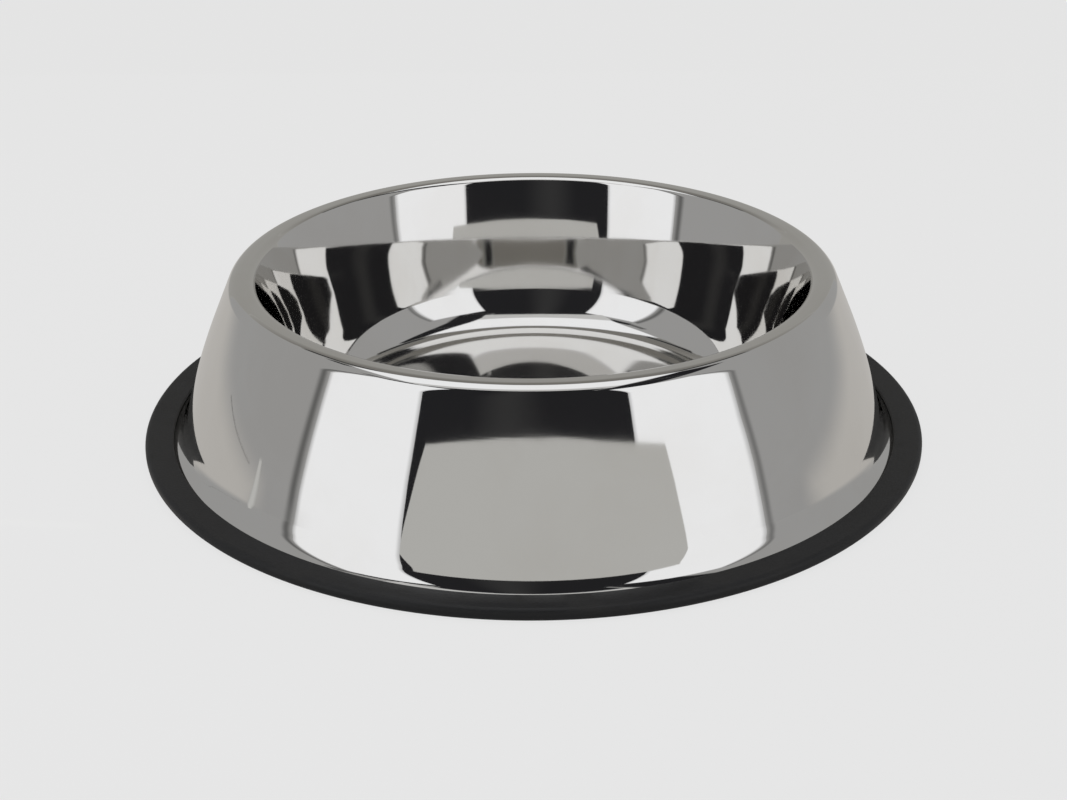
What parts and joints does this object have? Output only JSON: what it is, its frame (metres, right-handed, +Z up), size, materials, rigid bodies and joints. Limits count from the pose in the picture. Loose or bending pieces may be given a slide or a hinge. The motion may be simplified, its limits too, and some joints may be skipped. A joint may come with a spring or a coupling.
{
  "type": "non-slip pet bowl",
  "caption": "Low round dog bowl: a mirror-polished stainless well with a rolled rim and a sloping skirt, standing on a black rubber ring that grips the floor.",
  "frame": {"origin": "on the ground, under the middle of the bowl", "axes": "+Z up along the bowl's axis; the bowl is round, so X and Y are any two level directions"},
  "size_m": [0.25, 0.25, 0.0542],
  "materials": {
    "polished_steel": "mirror-polished stainless steel sheet",
    "black_rubber": "matte moulded black rubber"
  },
  "bodies": {
    "root": {"steel_bowl": "polished_steel", "rubber_ring": "black_rubber"}
  },
  "joints": []
}
